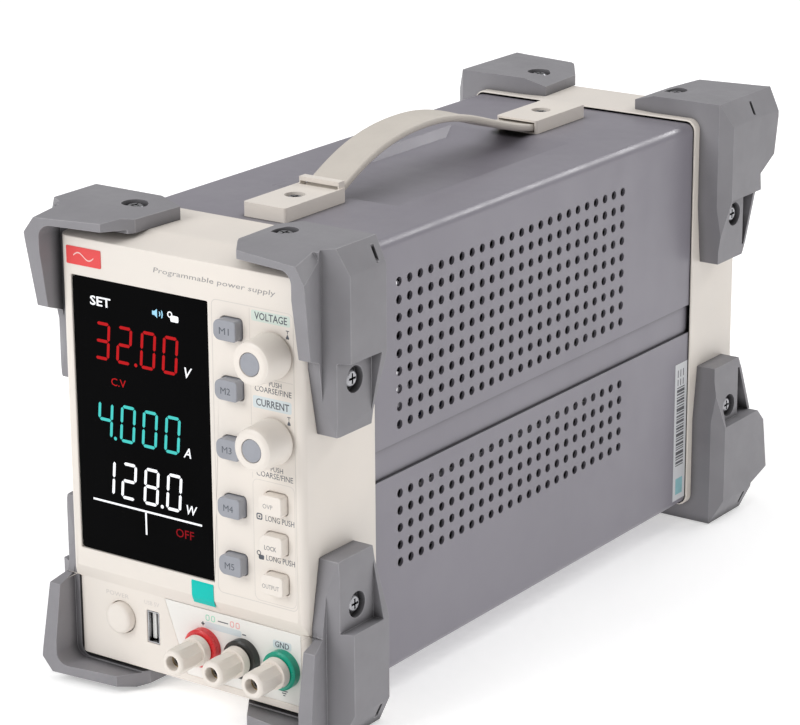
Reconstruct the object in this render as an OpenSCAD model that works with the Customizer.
// Bench power supply: perforated steel case between a moulded front bezel and
// a moulded rear frame, eight screwed-on corner bumpers and a strap handle.
// The design frame has its origin at the middle of the front face's lower edge,
// +X to the operator's right, +Y to the back, +Z up, in millimetres.

/* [Case] */
// Width across the grey steel covers
case_w = 113.4; // [108:0.2:120]
// Height of the steel covers
case_h = 176; // [168:1:184]
// Length from the bezel's face to the back of the rear frame
case_l = 327; // [300:1:350]
// Sheet thickness of the covers
sheet = 1.2; // [0.8:0.1:1.6]
// Top of the lower chassis' outer skin
chassis_top = 81.2; // [78:0.2:84]
// Lower edge of the top cover's sides
cover_skirt = 94; // [90:0.5:98]

/* [Vent holes] */
// Distance between neighbouring vent holes
vent_pitch = 7.15; // [6.5:0.05:7.2]
// Diameter of a vent hole
vent_d = 3.7; // [3:0.1:4.2]
// Columns of vent holes on each side
vent_columns = 24; // [10:1:26]
// Rows of vent holes in the top cover
cover_rows = 9; // [4:1:9]
// Rows of vent holes in the lower chassis
chassis_rows = 5; // [2:1:5]

/* [Front bezel] */
// Width of the bezel and the rear frame
bezel_w = 115.2; // [110:0.2:118]
// Depth of the bezel
bezel_d = 46; // [44:0.5:48]
// How far bezel and rear frame stand above and below the case
bezel_lip = 1.4; // [1:0.1:2]
// How far the terminal section sits behind the display section
step_back = 2.5; // [1.5:0.1:3.5]
// Thickness from the front face to the bezel's inside
face_wall = 5.5; // [5:0.1:6]

/* [Controls] */
// Width of a key
key_w = 10.5; // [9:0.1:12]
// Height of a key
key_h = 8; // [7:0.1:9]
// How far a key stands out of the bezel
key_out = 4; // [2:0.1:5]
// Distance between neighbouring memory keys
memory_pitch = 23.22; // [22:0.1:23.4]
// Diameter of a setting knob
knob_d = 18; // [16:0.5:19]
// How far a knob stands out of the bezel
knob_out = 15; // [12:0.5:17]
// Travel of a key
key_travel = 0.8; // [0.4:0.1:1]

/* [Binding posts] */
// Distance between neighbouring posts, the 3/4 inch of double banana plugs
post_pitch = 19.05; // [19:0.05:19.1]
// Diameter of the banana bore
banana_d = 4.1; // [4:0.02:4.2]
// How far the caps stand out of the display section's face
post_out = 17.8; // [17:0.2:22]

/* [Bumpers] */
// Height of a bumper's top above the case
bumper_up = 9; // [8:0.5:10]
// Half the width across the bumpers
bumper_x = 72; // [70:0.5:74]
// How far a bumper's flange stands in front of the bezel
flange_out = 9.8; // [8:0.2:11]

/* [Handle] */
// Width of the strap
strap_w = 17.6; // [16:0.2:18]
// Thickness of the strap
strap_t = 3.2; // [2.5:0.1:3.4]

/* [Hidden] */
$fn = 48;

CREAM = [0.91, 0.88, 0.84];
GREY = [0.53, 0.52, 0.55];
KEY_GREY = [0.6, 0.61, 0.64];
STEEL = [0.75, 0.76, 0.78];

// The whole object stands on its lower bumpers, centred over the origin.
front_y = -post_out;
rear_y = case_l + flange_out;
mid_y = (front_y + rear_y) / 2;
foot = bumper_up;

half_w = case_w / 2;
half_b = bezel_w / 2;
bezel_top = case_h + bezel_lip;
frame_y = 287;            // front edge of the rear frame's lip
cover_end = 300;          // rear end of the covers, inside the lip
wall = 2.7;               // side wall of the bezel and the rear frame
corner_r = 4.6;           // rounded long corners of the bezel and the rear frame
gap = 0.3;                // play around a moving piece
vent_y = 63.4;            // first column of vent holes
cover_vent_z = 100.9;     // lowest row in the top cover
chassis_vent_z = 44.1;    // lowest row in the lower chassis

glass = [-52, 14, 47.2, 158.4];     // left, right, bottom, top
memory_x = 25.2;
memory_z = 150.2;
soft_x = 44.8;
protection_z = 85.4;
lock_z = 69.5;
output_z = 53.6;
knob_x = 45.3;
knob_z = [143.5, 110.3];
post_x = 26;
post_z = 17.8;
power_x = -34.6;
power_z = 20.5;
usb_x = -19;
usb_z = 19.5;
board_y = 13;             // front face of the front board

// Middle of each key: five memory keys, then protection, lock and output
key_places = concat(
    [for (i = [0 : 4]) [memory_x, memory_z - i * memory_pitch]],
    [for (z = [protection_z, lock_z, output_z]) [soft_x, z]]);

// Strap handle
cap_w = 20.6;
cap_len = 39.5;
cap_front_y = 54;
cap_rear_y = 232.5;
cap_bottom = case_h;
cap_top = 181.8;
crown_y = 155;
crown_z = 195.8;

// Fan
fan_x = 0;
fan_z = 108;
fan_y = 296.5;
fan_size = 80;
fan_depth = 25;
inlet_x = 0;
inlet_z = 34;

// ---------------------------------------------------------------- helpers

// Moves the design frame to the object's own frame on the bench.
module on_bench() {
    translate([0, -mid_y, foot]) children();
}

// Extrudes an XZ outline along +Y from y.
module along_y(y, length) {
    translate([0, y + length, 0]) rotate([90, 0, 0]) linear_extrude(length) children();
}

// Extrudes a YZ outline along +X from x.
module along_x(x, length) {
    translate([x, 0, 0]) rotate([90, 0, 90]) linear_extrude(length) children();
}

// A round bar along +Y from y.
module rod_y(x, y, z, d, length, facets = 48) {
    translate([x, y, z]) rotate([-90, 0, 0]) cylinder(d = d, h = length, $fn = facets);
}

// A solid turned about the Y axis; the outline is [radius, y].
module turned_y(x, z, outline, facets = 64) {
    translate([x, 0, z]) rotate([-90, 0, 0]) rotate_extrude($fn = facets) polygon(outline);
}

module round_rect(w, h, r) {
    square([w - 2 * r, h], center = true);
    square([w, h - 2 * r], center = true);
    for (sx = [-1, 1], sz = [-1, 1])
        translate([sx * (w / 2 - r), sz * (h / 2 - r)]) circle(r);
}

// A key's outline: round on the left, nearly square on the right.
module key_outline(grow = 0) {
    r = key_h * 0.36 + grow;
    small = 1.2 + grow;
    x1 = key_w / 2 + grow;
    z1 = key_h / 2 + grow;
    translate([r - x1, -z1]) square([2 * x1 - small - r, 2 * z1]);
    translate([-x1, r - z1]) square([2 * x1, 2 * (z1 - r)]);
    translate([r - x1, small - z1]) square([2 * x1 - r, 2 * (z1 - small)]);
    for (s = [-1, 1]) {
        translate([x1 - small, s * (z1 - small)]) circle(small);
        translate([r - x1, s * (z1 - r)]) circle(r);
    }
}

// A pan-head screw with a cross recess; its head looks along +Z, underside at 0.
module screw(length) {
    difference() {
        union() {
            cylinder(d = 7.4, h = 1.6);
            translate([0, 0, 1.6]) cylinder(d1 = 7.4, d2 = 4.8, h = 0.9);
            translate([0, 0, -length]) cylinder(d = 4, h = length);
        }
        for (a = [0, 90]) rotate(a) translate([-2.1, -0.45, 1.2]) cube([4.2, 0.9, 2]);
    }
}

// ------------------------------------------------------------ steel covers

// The cross-section of the covers, a rounded rectangle grown inwards by t.
module case_section(t) {
    translate([0, case_h / 2]) round_rect(case_w - 2 * t, case_h - 2 * t, corner_r - 0.9 - t / 2);
}

module vent_field(z0, rows) {
    for (column = [0 : vent_columns - 1], row = [0 : rows - 1])
        translate([-half_w - 1, vent_y + column * vent_pitch, z0 + row * vent_pitch])
            rotate([0, 90, 0]) cylinder(d = vent_d, h = case_w + 2, $fn = 24);
}

// Dished finger recess under the handle, its floor lower than the top by depth.
module finger_dish(depth, inset) {
    top = case_h + 1;
    floor_z = case_h - depth;
    y0 = cap_front_y + cap_len + 1.5 + inset;
    y1 = cap_rear_y - 1.5 - inset;
    intersection() {
        along_y(y0, y1 - y0) polygon([
            [-32 + inset, top], [-26 + inset, floor_z], [26 - inset, floor_z], [32 - inset, top]]);
        along_x(-32, 64) polygon([
            [y0, top], [y0 + 14, floor_z], [y1 - 14, floor_z], [y1, top]]);
    }
}

module top_cover() color(GREY) on_bench() {
    length = cover_end - bezel_d - 0.2;
    difference() {
        union() {
            difference() {
                along_y(bezel_d + 0.2, length) case_section(0);
                along_y(bezel_d - 1, length + 3) case_section(sheet);
                translate([-half_w - 1, bezel_d - 2, -2])
                    cube([case_w + 2, length + 6, cover_skirt + 2]);
            }
            intersection() {
                translate([-34, bezel_d + 20, case_h - 6]) cube([68, 200, 5]);
                finger_dish(3 + sheet, -sheet);
            }
        }
        finger_dish(3, 0);
        vent_field(cover_vent_z, cover_rows);
        for (y = [cap_front_y + cap_len / 2, cap_rear_y + cap_len / 2])
            translate([0, y, case_h - 4]) cylinder(d = 4.4, h = 6);
    }
}

module lower_chassis() color(GREY) on_bench() {
    length = cover_end - bezel_d - 0.2;
    difference() {
        union() {
            difference() {
                along_y(bezel_d + 0.2, length) case_section(0);
                along_y(bezel_d - 1, length + 3) case_section(sheet);
                translate([-half_w - 1, bezel_d - 2, chassis_top])
                    cube([case_w + 2, length + 6, case_h]);
            }
            // Joggled flanges that tuck up inside the top cover
            for (s = [-1, 1]) {
                translate([s * (half_w - 1.9) - 0.6, bezel_d + 0.2, chassis_top - 4])
                    cube([1.2, length, cover_skirt - chassis_top + 7.5]);
                translate([s * (half_w - 1.2) - 0.8, bezel_d + 0.2, chassis_top - 4])
                    cube([1.6, length, 4]);
            }
            for (s = [-1, 1], y = [75, 165, 255])
                translate([s * 42, y, sheet]) cylinder(d = 7, h = 6);
        }
        vent_field(chassis_vent_z, chassis_rows);
        // Slots in the base that let cooling air in
        for (x = [-30 : 10 : 30], y = [95, 190])
            translate([x - 1.5, y, -1]) cube([3, 40, sheet + 2]);
    }
}

// ------------------------------------------------------- front and rear ends

// Outer form shared by the bezel and the rear frame, with all corners rounded.
module end_block(y0, y1, side_profile) {
    intersection() {
        along_y(y0 - 1, y1 - y0 + 2) translate([0, case_h / 2])
            round_rect(bezel_w, case_h + 2 * bezel_lip, corner_r);
        translate([0, (y0 + y1) / 2, -10])
            linear_extrude(case_h + 20) round_rect(bezel_w, y1 - y0, 3.5);
        along_x(-half_b - 1, bezel_w + 2) polygon(side_profile);
    }
}

bezel_profile = [
    [step_back, 0.9], [step_back, 33.8], [0, 39.3], [0, 173.8], [14, bezel_top],
    [bezel_d, bezel_top], [bezel_d, -bezel_lip], [14, -bezel_lip]];

// Screws that hold the bumpers: x, y and z of each rim, for one quadrant.
bumper_screw_y = 20;
top_screw_x = 36;
side_screw_z = 132.7;
side_floor = 67.2;

// Draws children at each of the eight corners. The children are drawn for the
// front top right corner; only is a list of [side, end, level], each 1 or -1.
module at_corner(side, end, level) {
    translate([0, end > 0 ? case_l : 0, level < 0 ? case_h : 0])
        mirror([side < 0 ? 1 : 0, 0, 0]) mirror([0, end > 0 ? 1 : 0, 0])
            mirror([0, 0, level < 0 ? 1 : 0]) children();
}

module bumper_screw_holes(d) {
    translate([top_screw_x, bumper_screw_y, bezel_top - 12]) cylinder(d = d, h = 20);
    translate([half_b - 10, bumper_screw_y, side_screw_z]) rotate([0, 90, 0]) cylinder(d = d, h = 20);
}

module front_bezel() color(CREAM) on_bench() {
    difference() {
        union() {
            difference() {
                end_block(0, bezel_d + 4, bezel_profile);
                // Hollow for the boards
                translate([-half_b + wall, face_wall, -bezel_lip + wall])
                    cube([bezel_w - 2 * wall, bezel_d, bezel_top + bezel_lip - 2 * wall]);
            }
            // Screw bosses behind the bumpers
            for (side = [-1, 1], level = [-1, 1]) at_corner(side, -1, level) {
                translate([top_screw_x, bumper_screw_y, bezel_top - 9])
                    cylinder(d = 9, h = 8);
                translate([half_b - 9, bumper_screw_y, side_screw_z])
                    rotate([0, 90, 0]) cylinder(d = 9, h = 8);
            }
        }
        for (side = [-1, 1], level = [-1, 1]) at_corner(side, -1, level) bumper_screw_holes(4.1);
        // Display window with a rebate for the glass
        translate([glass[0] - 0.3, -1, glass[2] - 0.3])
            cube([glass[1] - glass[0] + 0.6, 3.5, glass[3] - glass[2] + 0.6]);
        translate([glass[0] + 3, -1, glass[2] + 3])
            cube([glass[1] - glass[0] - 6, 10, glass[3] - glass[2] - 6]);
        for (p = key_places) along_y(-1, 10) translate(p) key_outline(gap);
        for (z = knob_z) rod_y(knob_x, -1, z, 8, 10);
        rod_y(power_x, -1, power_z, 13.2, 10);
        along_y(-1, 10) translate([usb_x, usb_z]) square([6.2, 13.6], center = true);
        for (i = [-1 : 1]) rod_y(post_x + i * post_pitch, -1, post_z, 9.6, 10);
        // Rounded upright edges of the terminal section
        for (s = [-1, 1]) difference() {
            translate([s * half_b - 4.5, step_back - 1, -5]) cube([9, 5.5, 38.8]);
            translate([s * (half_b - 4.5), step_back + 4.5, -6]) cylinder(r = 4.5, h = 41);
        }
        // Rebate of the terminal inlay
        along_y(step_back - 1, 1.8) inlay_outline(0.1);
    }
}

// Outline of the light grey inlay behind the posts, slanted on its left side.
module inlay_outline(grow) {
    polygon([[-12.6 - grow, 33.2 + grow], [-2 - grow, 4 - grow],
             [53.4 + grow, 4 - grow], [53.4 + grow, 33.2 + grow]]);
}

module terminal_inlay() color([0.86, 0.85, 0.83]) on_bench() {
    difference() {
        along_y(step_back, 0.8) inlay_outline(0);
        for (i = [-1 : 1]) rod_y(post_x + i * post_pitch, 0, post_z, 9.6, 10);
    }
}

rear_profile = [
    [frame_y, -bezel_lip], [frame_y, bezel_top], [case_l - 8, bezel_top],
    [case_l, bezel_top - 2.5], [case_l, 1.1], [case_l - 8, -bezel_lip]];

module rear_frame() color(CREAM) on_bench() {
    difference() {
        union() {
            difference() {
                end_block(frame_y - 4, case_l, rear_profile);
                // Lip that takes the covers' rear ends
                along_y(frame_y - 5, cover_end - frame_y + 5.2)
                    translate([0, case_h / 2]) round_rect(case_w + 0.3, case_h + 0.3, corner_r - 0.8);
                translate([-half_b + 4.6, cover_end - 1, -bezel_lip + 4.6])
                    cube([bezel_w - 9.2, 24.5, bezel_top + bezel_lip - 9.2]);
                // Window behind which the rear panel sits
                translate([-half_b + 7, cover_end, -bezel_lip + 7])
                    cube([bezel_w - 14, 40, bezel_top + bezel_lip - 14]);
            }
            for (side = [-1, 1], level = [-1, 1]) at_corner(side, 1, level) {
                translate([top_screw_x, bumper_screw_y, bezel_top - 11])
                    cylinder(d = 9, h = 9);
                translate([half_b - 11, bumper_screw_y, side_screw_z])
                    rotate([0, 90, 0]) cylinder(d = 9, h = 9);
            }
        }
        for (side = [-1, 1], level = [-1, 1]) at_corner(side, 1, level) bumper_screw_holes(4.1);
    }
}

module rear_panel() color(STEEL) on_bench() {
    panel_y = cover_end + 21.9;
    difference() {
        translate([-half_b + 4.8, panel_y, -bezel_lip + 4.8])
            cube([bezel_w - 9.6, 1.5, bezel_top + bezel_lip - 9.6]);
        // Fan grille: rings of slots with four spokes left between them
        difference() {
            for (r = [14, 20, 26, 32])
                along_y(panel_y - 1, 4) translate([fan_x, fan_z]) difference() {
                    circle(r + 2.1);
                    circle(r - 1.9);
                }
            for (a = [0, 90])
                translate([fan_x, panel_y, fan_z]) rotate([0, a + 45, 0])
                    cube([4, 12, 90], center = true);
        }
        for (sx = [-1, 1], sz = [-1, 1])
            rod_y(fan_x + sx * 35.75, panel_y - 1, fan_z + sz * 35.75, 4.3, 4);
        along_y(panel_y - 1, 4) translate([inlet_x, inlet_z]) square([27.6, 20.2], center = true);
        for (s = [-1, 1]) rod_y(inlet_x + s * 20, panel_y - 1, inlet_z, 3.4, 4);
    }
}

// ------------------------------------------------------------------ bumpers

block_top = case_h + bumper_up;
bumper_end = 112.3;        // lower tip of the side leg
pocket_top = 141.3;        // overhang above the side screw
bumper_rear = 34;

// Seen from the side: stepped, raked front edge and a tapering lower tip
bumper_side = [
    [-flange_out, 190], [-flange_out, 175.5], [-4.9, 145.3], [3.5, 142.2], [9, 112.6],
    [11, bumper_end], [31, bumper_end], [bumper_rear, pocket_top - 3], [bumper_rear, 190]];

// Seen from above: the inner end is cut off at an angle
bumper_plan = [
    [32.5, -4.9], [61.8, -8.9], [66.7, -flange_out], [80, -flange_out], [80, bumper_rear],
    [34, bumper_rear], [23.4, 32], [24.7, 6.5]];

// The same for the rear bumpers, whose inner end is chamfered at the side
inner_end = 36;
rear_plan = [
    [32.5, -4.9], [61.8, -8.9], [66.7, -flange_out], [80, -flange_out], [80, 23.2],
    [side_floor, inner_end], [34, inner_end], [23.4, 34], [24.7, 6.5]];

// The top rises from the flange's front edge to the block.
module bumper_limits() {
    intersection() {
        along_x(20, 60) polygon(bumper_side);
        along_x(20, 60) polygon([[-12, 100], [-12, 181], [8.5, block_top], [40, block_top], [40, 100]]);
        translate([0, 0, 100]) linear_extrude(90) polygon(bumper_plan);
    }
}

// Rim round the bezel's front; it stands closer to the bezel on the lower pair.
module bumper_flange(level) {
    inner_x = half_b + 2.5;
    inner_z = bezel_top + (level > 0 ? 1.6 : 0.5);
    r = 5;
    intersection() {
        along_y(-flange_out, 21) difference() {
            polygon([[22, 170], [22, 182.4], [34, block_top], [60, block_top], [66.7, 175.5],
                     [66.7, 105], [40, 105]]);
            square([inner_x - r, inner_z]);
            square([inner_x, inner_z - r]);
            translate([inner_x - r, inner_z - r]) circle(r);
        }
        bumper_limits();
    }
}

// Section of a bumper's block from the top's inner edge to the leg's tip
module block_section(inner_top, overhang) {
    difference() {
        polygon([[22, 170], [22, inner_top], [34, block_top], [bumper_x - 4.7, block_top],
                 [bumper_x, block_top - 10.4], [bumper_x, overhang], [side_floor, 118],
                 [66.2, 105], [40, 105]]);
        square([half_b - corner_r, bezel_top]);
        square([half_b, bezel_top - corner_r]);
        translate([half_b - corner_r, bezel_top - corner_r]) circle(corner_r);
    }
}

module bumper_block() {
    intersection() {
        along_y(4, bumper_rear - 4) block_section(182.4, pocket_top);
        bumper_limits();
    }
}

// Slot across the chamfer, screw holes and the recesses of the screws' heads
module bumper_holes(slot_y) {
    translate([bumper_x + 0.2, slot_y, block_top - 4.1]) rotate([0, 24.3, 0])
        cube([8, 1.8, 9.5], center = true);
    bumper_screw_holes(4.6);
    translate([top_screw_x, bumper_screw_y, block_top - 3.4]) cylinder(d = 10.4, h = 6);
    translate([side_floor - 3.6, bumper_screw_y, side_screw_z]) rotate([0, 90, 0])
        cylinder(d = 10.4, h = 10);
}

module front_bumper(level) {
    difference() {
        union() {
            bumper_flange(level);
            bumper_block();
        }
        // V-groove between flange and block
        translate([0, 0, 105]) linear_extrude(85)
            polygon([[66.9, -flange_out], [62.4, 6.5], [bumper_x + 0.1, 11.4], [90, 11.4], [90, -20]]);
        // Pocket round the side screw, open to the groove
        translate([side_floor, 6, 100]) cube([10, 24.5, pocket_top - 100]);
        bumper_holes(29.6);
    }
}

// A rear bumper is one block without the groove. Seen from the side, the upper
// pair steps in below its raked rear edge; the lower pair is cut back at the
// bench and has a lower overhang above its screw.
module rear_bumper(level) {
    overhang = level > 0 ? pocket_top : pocket_top - 1.8;
    rear_edge = level > 0
        ? [[-flange_out, 190], [-flange_out, 171.9], [-6.8, 155.5], [5.4, 148.8], [4.6, overhang]]
        : [[8, 190], [5.6, 173.5], [-8.6, 169.2], [-4.8, 145.4], [1, overhang]];
    leg = [[0, overhang], [11, bumper_end], [inner_end - 3, bumper_end],
           [inner_end, overhang - 3], [inner_end, 190]];
    difference() {
        intersection() {
            along_y(-flange_out, inner_end + flange_out) block_section(181.4, overhang);
            along_x(20, 60) polygon(concat(rear_edge, leg));
            translate([0, 0, 100]) linear_extrude(90) polygon(rear_plan);
        }
        // Pocket round the side screw and a deeper one behind a thin slanted rib
        translate([side_floor, -20, 100]) cube([10, 50.5, overhang - 100]);
        along_x(62.5, 20)
            polygon([[1.9, overhang], [12, overhang], [12, 117], [10.8, 117]]);
        bumper_holes(11);
    }
}

module placed_bumper(side, end, level) {
    color(GREY) on_bench() at_corner(side, end, level) {
        if (end < 0) front_bumper(level);
        else rear_bumper(level);
    }
}

module bumper_front_top_right() placed_bumper(1, -1, 1);
module bumper_front_top_left() placed_bumper(-1, -1, 1);
module bumper_front_bottom_right() placed_bumper(1, -1, -1);
module bumper_front_bottom_left() placed_bumper(-1, -1, -1);
module bumper_rear_top_right() placed_bumper(1, 1, 1);
module bumper_rear_top_left() placed_bumper(-1, 1, 1);
module bumper_rear_bottom_right() placed_bumper(1, 1, -1);
module bumper_rear_bottom_left() placed_bumper(-1, 1, -1);

// All cross-recessed screws: two in each bumper and one in each handle cap
module case_screws() color(STEEL) on_bench() {
    for (side = [-1, 1], end = [-1, 1], level = [-1, 1]) at_corner(side, end, level) {
        translate([top_screw_x, bumper_screw_y, block_top - 3.4]) screw(11);
        translate([side_floor - 3.6, bumper_screw_y, side_screw_z]) rotate([0, 90, 0]) screw(11);
    }
    for (y = [cap_front_y, cap_rear_y])
        translate([0, y + cap_len / 2, cap_top - 3.2]) screw(9);
}

// ------------------------------------------------------------------- handle

function bezier(a, b, c, d, t) =
    pow(1 - t, 3) * a + 3 * pow(1 - t, 2) * t * b + 3 * (1 - t) * t * t * c + pow(t, 3) * d;

strap_steps = 14;
// Middle line of the strap as [y, z]: a steep rise behind the front cap, a
// long fall to the rear one, and a straight tail inside each cap
strap_line = concat(
    [[83, 178.4], [89, 178.9]],
    [for (i = [0 : strap_steps]) bezier([93.5, 180.2], [112, 190], [128, crown_z],
                                        [crown_y, crown_z], i / strap_steps)],
    [for (i = [1 : strap_steps]) bezier([crown_y, crown_z], [185, crown_z], [203, 183.6],
                                        [232.5, 178.6], i / strap_steps)],
    [[236, 178.3], [243, 178.3]]);

function strap_normal(i) =
    let (a = strap_line[max(i - 1, 0)], b = strap_line[min(i + 1, len(strap_line) - 1)], d = b - a)
    [-d[1], d[0]] / norm(d);

module handle_strap() color([0.82, 0.79, 0.75]) on_bench() {
    last = len(strap_line) - 1;
    upper = [for (i = [0 : last]) strap_line[i] + strap_normal(i) * strap_t / 2];
    lower = [for (i = [last : -1 : 0]) strap_line[i] - strap_normal(i) * strap_t / 2];
    along_x(-strap_w / 2, strap_w) polygon(concat(upper, lower));
}

// Opening in a cap for the strap, from y to past the cap's end
module strap_slot(y, height) {
    slot_w = strap_w + 0.8;
    translate([-slot_w / 2, y, cap_bottom + 0.4]) cube([slot_w, cap_len + 1 - y, height]);
}

// A cap seen with the strap leaving towards +Y; its front edge is at y = 0
module handle_cap() {
    difference() {
        translate([0, cap_len / 2, cap_bottom])
            linear_extrude(cap_top - cap_bottom) round_rect(cap_w, cap_len, 1.2);
        strap_slot(cap_len - 12, 4.5);
        translate([0, cap_len / 2, cap_bottom - 1]) cylinder(d = 4.4, h = 10);
        translate([0, cap_len / 2, cap_top - 3.2]) cylinder(d = 8.4, h = 5);
    }
}

module handle_cap_front() color(CREAM) on_bench() translate([0, cap_front_y, 0])
    difference() {
        union() {
            handle_cap();
            // Bar that the strap leaves under
            translate([-cap_w / 2 + 0.6, cap_len - 4, cap_bottom + 1])
                cube([cap_w - 1.2, 3.9, 7.6]);
        }
        strap_slot(cap_len - 5, 6.5);
    }

module handle_cap_rear() color(CREAM) on_bench()
    translate([0, cap_rear_y + cap_len, 0]) mirror([0, 1, 0]) handle_cap();

// ------------------------------------------------------------ display, board

module display_glass() color([0.05, 0.05, 0.06]) on_bench()
    along_y(0.5, 1.9) translate([(glass[0] + glass[1]) / 2, (glass[2] + glass[3]) / 2])
        round_rect(glass[1] - glass[0], glass[3] - glass[2], 1.5);

module display_module() color([0.3, 0.32, 0.34]) on_bench() {
    translate([glass[0] + 3.4, 3, glass[2] + 3.4])
        cube([glass[1] - glass[0] - 6.8, 5, glass[3] - glass[2] - 6.8]);
    translate([glass[0] + 1, 8, glass[2] + 1])
        cube([glass[1] - glass[0] - 2, 3.5, glass[3] - glass[2] - 2]);
}

module front_board() color([0.1, 0.4, 0.2]) on_bench() {
    difference() {
        translate([-52.5, board_y, 5]) cube([105, 1.6, 163]);
        rod_y(power_x, board_y - 1, power_z, 12, 4);
        for (i = [-1 : 1]) rod_y(post_x + i * post_pitch, board_y - 1, post_z, 12, 4);
        along_y(board_y - 1, 4) translate([usb_x, usb_z]) square([8, 16], center = true);
    }
    for (sx = [-1, 1], z = [8, 164])
        rod_y(sx * 28, face_wall, z, 5, board_y - face_wall);
}

// ---------------------------------------------------------- keys and knobs

// A push key: shaped cap, a collar behind the bezel and a stem to its switch
module key(place) {
    along_y(-key_out, key_out + face_wall + 0.3) translate(place) key_outline();
    along_y(face_wall + 0.1, 1) translate(place) square([key_w + 2, key_h + 1.6], center = true);
    rod_y(place[0], face_wall + 0.9, place[1], 3.4, 2.6);
}

module memory_key(i) color(KEY_GREY) on_bench() key(key_places[i - 1]);
module memory_key_1() memory_key(1);
module memory_key_2() memory_key(2);
module memory_key_3() memory_key(3);
module memory_key_4() memory_key(4);
module memory_key_5() memory_key(5);

module protection_key() color(CREAM) on_bench() key([soft_x, protection_z]);
module lock_key() color(CREAM) on_bench() key([soft_x, lock_z]);
module output_key() color(CREAM) on_bench() key([soft_x, output_z]);

module key_switches() color([0.15, 0.15, 0.16]) on_bench()
    for (p = key_places) {
        translate([p[0] - 3, 10.6, p[1] - 3]) cube([6, board_y - 10.6, 6]);
        rod_y(p[0], 9 + key_travel + 0.3, p[1], 3, 1);
    }

module knob(z) {
    r = knob_d / 2;
    y0 = -knob_out;
    turned_y(knob_x, z, [
        [3, -1.2], [r - 0.2, -1.2], [r, -1.8], [r - 0.5, y0 + 2.2], [r - 0.9, y0 + 0.9],
        [r - 2, y0 + 0.15], [r - 3, y0], [4.7, y0 + 0.1], [4.5, y0 + 0.9], [3, y0 + 0.9]]);
}

module knob_disc(z) turned_y(knob_x, z, [
    [0, 0.85 - knob_out], [4.4, 0.85 - knob_out], [4.4, 0.35 - knob_out], [4, 0.2 - knob_out],
    [0, 0.2 - knob_out]]);

module knob_shaft(z) rod_y(knob_x, 1 - knob_out, z, 5.94, knob_out + 8.2);

module voltage_knob() color(CREAM) on_bench() knob(knob_z[0]);
module current_knob() color(CREAM) on_bench() knob(knob_z[1]);
module voltage_knob_disc() color(KEY_GREY) on_bench() knob_disc(knob_z[0]);
module current_knob_disc() color(KEY_GREY) on_bench() knob_disc(knob_z[1]);

module voltage_shaft() color(STEEL) on_bench() knob_shaft(knob_z[0]);
module current_shaft() color(STEEL) on_bench() knob_shaft(knob_z[1]);

// The disc that a shaft presses on to click the switch behind it
module plunger(z) rod_y(knob_x, 9.3, z, 7, 1);
module voltage_plunger() color(KEY_GREY) on_bench() plunger(knob_z[0]);
module current_plunger() color(KEY_GREY) on_bench() plunger(knob_z[1]);

module encoder_housings() color([0.25, 0.25, 0.27]) on_bench()
    for (z = knob_z) difference() {
        union() {
            translate([knob_x - 6, 6.2, z - 6]) cube([12, board_y - 6.2, 12]);
            rod_y(knob_x, 1, z, 7.4, 6);
        }
        rod_y(knob_x, 0, z, 6.06, 9.2, 64);
        rod_y(knob_x, 9, z, 7.6, 2.4);
    }

// ------------------------------------------- power button, USB and posts

module power_button() color(CREAM) on_bench()
    turned_y(power_x, power_z, [
        [0, -1.3], [3.5, -1.15], [5.2, -0.8], [6, -0.2], [6.3, 0.6], [6.3, 7.6], [7.6, 7.6],
        [7.6, 8.6], [2.5, 8.6], [2.5, 16], [0, 16]]);

module power_switch() color([0.12, 0.12, 0.13]) on_bench() {
    translate([power_x - 7, 19.4, power_z - 7]) cube([14, 15, 15]);
    rod_y(power_x, 18.3, power_z, 4, 1.1);
    for (x = [-4, 4], z = [-3, 3])
        translate([power_x + x - 1, 34.4, power_z + z - 0.4]) cube([2, 5, 0.8]);
}

// A shell with its contact tongue
module usb_socket() color(STEEL) on_bench() {
    difference() {
        translate([usb_x - 2.85, 2.9, usb_z - 6.55]) cube([5.7, 14, 13.1]);
        translate([usb_x - 2.5, 2, usb_z - 6.2]) cube([5, 13.9, 12.4]);
    }
    translate([usb_x - 2, 5, usb_z - 5.5]) cube([1.7, 10.9, 11]);
}

function post_place(i) = post_x + i * post_pitch;

// Coloured collar with a neck through the bezel
module post_collar(i) turned_y(post_place(i), post_z, [
    [3.1, -1.2], [7.2, -1.2], [7.8, -0.6], [7.8, step_back], [4.7, step_back],
    [4.7, 6.5], [3.1, 6.5]]);
module post_collar_red() color("red") on_bench() post_collar(-1);
module post_collar_black() color([0.12, 0.12, 0.12]) on_bench() post_collar(0);
module post_collar_green() color([0, 0.55, 0.42]) on_bench() post_collar(1);

// Screw cap with shallow flutes; the banana plug enters at its front
module post_cap(i) difference() {
    turned_y(post_place(i), post_z, [
        [4.25, -1.5], [6, -1.5], [6.2, -1.8], [5.2, 1.2 - post_out], [4.8, 0.4 - post_out],
        [4.2, -post_out], [3.1, -post_out], [2.9, 0.3 - post_out], [2.9, -14], [4.25, -14]]);
    for (a = [0 : 45 : 315])
        translate([post_place(i), 1.4 - post_out, post_z]) rotate([0, a, 0])
            translate([14.2, 0, 0]) rotate([-90, 0, 2.4]) cylinder(r = 9.2, h = post_out - 6, $fn = 64);
}
module post_cap_red() color(CREAM) on_bench() post_cap(-1);
module post_cap_black() color(CREAM) on_bench() post_cap(0);
module post_cap_green() color(CREAM) on_bench() post_cap(1);

// Threaded brass lining of a cap
module post_insert(i) turned_y(post_place(i), post_z, [
    [3.1, -2], [4.2, -2], [4.2, -13.9], [3.1, -13.9]]);
module post_insert_red() color("gold") on_bench() post_insert(-1);
module post_insert_black() color("gold") on_bench() post_insert(0);
module post_insert_green() color("gold") on_bench() post_insert(1);

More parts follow.
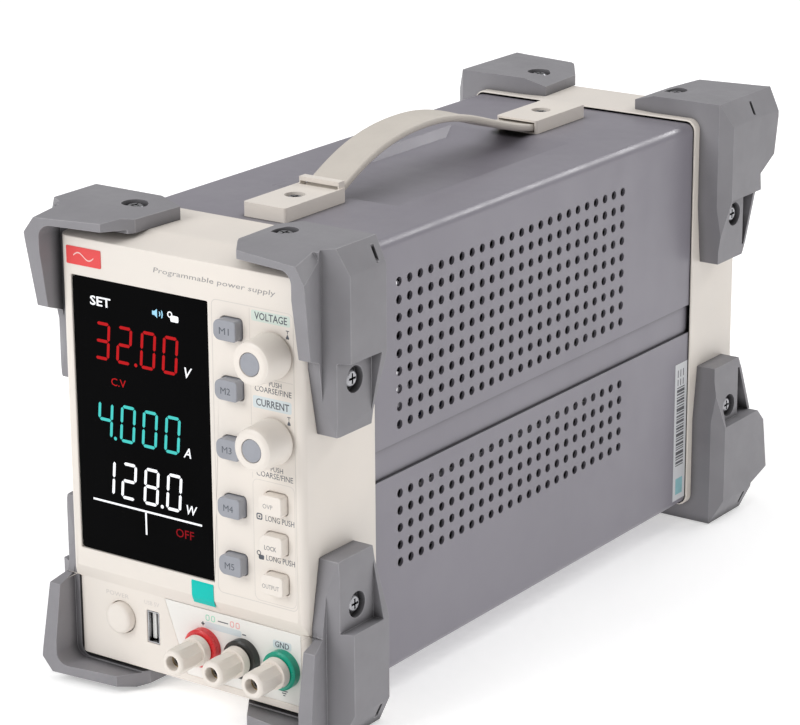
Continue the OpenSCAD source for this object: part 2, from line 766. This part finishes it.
// Tubular studs with the banana bore and a cross hole for bare wire
module post_studs() color(STEEL) on_bench()
    for (i = [-1 : 1]) difference() {
        rod_y(post_place(i), -13.5, post_z, 6, 35.5);
        rod_y(post_place(i), -14, post_z, banana_d, 22.5);
        translate([post_place(i) - 4, -3.6, post_z]) rotate([0, 90, 0])
            cylinder(d = 2.2, h = 8, $fn = 32);
    }

module post_nuts() color("gold") on_bench()
    for (i = [-1 : 1]) difference() {
        rod_y(post_place(i), 6.6, post_z, 12, 3, 6);
        rod_y(post_place(i), 6, post_z, 6.2, 5);
    }

// ---------------------------------------------------------------- inside

module main_board() color([0.1, 0.4, 0.2]) on_bench()
    difference() {
        translate([-50, 62, sheet + 6]) cube([100, 210, 1.6]);
        for (sx = [-1, 1], y = [75, 165, 255])
            translate([sx * 42, y, sheet + 5]) cylinder(d = 3.4, h = 4);
    }

board_top = sheet + 7.6;

module transformer() color([0.75, 0.6, 0.2]) on_bench() {
    translate([-46, 95, board_top]) cube([48, 14, 42]);
    translate([-46, 131, board_top]) cube([48, 14, 42]);
    translate([-42, 109, board_top + 4]) cube([40, 22, 34]);
}

module heat_sink() color(STEEL) on_bench() {
    translate([20, 90, board_top]) cube([5, 140, 70]);
    for (i = [0 : 7])
        translate([25, 90, board_top + 3 + i * 8.8]) cube([22, 140, 2.4]);
}

module capacitors() color([0.15, 0.17, 0.3]) on_bench()
    for (x = [-34, -8], y = [165, 192, 219])
        translate([x, y, board_top]) {
            cylinder(d = 22, h = 38);
            translate([0, 0, 38]) cylinder(d = 20, h = 1.2);
        }

// Mains inlet: a flanged body with a recessed socket and three blades
module inlet_socket() color([0.1, 0.1, 0.11]) on_bench() {
    panel_y = cover_end + 23.4;
    difference() {
        union() {
            along_y(panel_y - 25, 25) translate([inlet_x, inlet_z])
                square([27.2, 19.8], center = true);
            along_y(panel_y, 2.4) translate([inlet_x, inlet_z]) round_rect(50, 23, 3);
        }
        along_y(panel_y - 14, 20) translate([inlet_x, inlet_z]) polygon([
            [-12, -8], [12, -8], [12, 4], [8, 8], [-8, 8], [-12, 4]]);
        for (s = [-1, 1]) rod_y(inlet_x + s * 20, panel_y - 1, inlet_z, 3.4, 5);
    }
    for (p = [[-7, -2], [7, -2], [0, 2]])
        translate([inlet_x + p[0] - 1, panel_y - 15, inlet_z + p[1] - 2]) cube([2, 14, 4]);
}

module fan_frame() color([0.13, 0.13, 0.14]) on_bench()
    difference() {
        union() {
            difference() {
                along_y(fan_y, fan_depth) translate([fan_x, fan_z]) round_rect(fan_size, fan_size, 4);
                rod_y(fan_x, fan_y - 1, fan_z, 76, fan_depth + 2, 96);
            }
            rod_y(fan_x, fan_y + fan_depth - 4, fan_z, 32, 4);
            rod_y(fan_x, fan_y + 15.5, fan_z, 8, 8);
            for (a = [45 : 90 : 315])
                translate([fan_x, fan_y + fan_depth - 2, fan_z]) rotate([0, a, 0])
                    translate([26.5, 0, 0]) cube([25, 4, 4], center = true);
        }
        for (sx = [-1, 1], sz = [-1, 1])
            rod_y(fan_x + sx * 35.75, fan_y - 1, fan_z + sz * 35.75, 4.3, fan_depth + 2);
        rod_y(fan_x, fan_y + 14, fan_z, 3.1, 9, 48);
    }

module fan_impeller() color([0.18, 0.18, 0.19]) on_bench() {
    difference() {
        rod_y(fan_x, fan_y + 1.5, fan_z, 32, 18.5, 64);
        rod_y(fan_x, fan_y + 3.5, fan_z, 28, 20, 64);
    }
    rod_y(fan_x, fan_y + 3, fan_z, 3, 18.6, 48);
    for (a = [0 : 360 / 7 : 359])
        translate([fan_x, fan_y + 10.5, fan_z]) rotate([0, a, 0])
            translate([15.4, 0, 0]) rotate([38, 0, 0]) translate([0, -8.5, -0.8]) cube([20.6, 17, 1.6]);
}

top_cover();
lower_chassis();
front_bezel();
rear_frame();
rear_panel();
bumper_front_top_right();
bumper_front_top_left();
bumper_front_bottom_right();
bumper_front_bottom_left();
bumper_rear_top_right();
bumper_rear_top_left();
bumper_rear_bottom_right();
bumper_rear_bottom_left();
case_screws();
handle_strap();
handle_cap_front();
handle_cap_rear();
display_glass();
display_module();
terminal_inlay();
front_board();
memory_key_1();
memory_key_2();
memory_key_3();
memory_key_4();
memory_key_5();
protection_key();
lock_key();
output_key();
key_switches();
voltage_knob();
current_knob();
voltage_knob_disc();
current_knob_disc();
voltage_shaft();
current_shaft();
voltage_plunger();
current_plunger();
encoder_housings();
power_button();
power_switch();
usb_socket();
post_collar_red();
post_collar_black();
post_collar_green();
post_cap_red();
post_cap_black();
post_cap_green();
post_insert_red();
post_insert_black();
post_insert_green();
post_studs();
post_nuts();
main_board();
transformer();
heat_sink();
capacitors();
inlet_socket();
fan_frame();
fan_impeller();
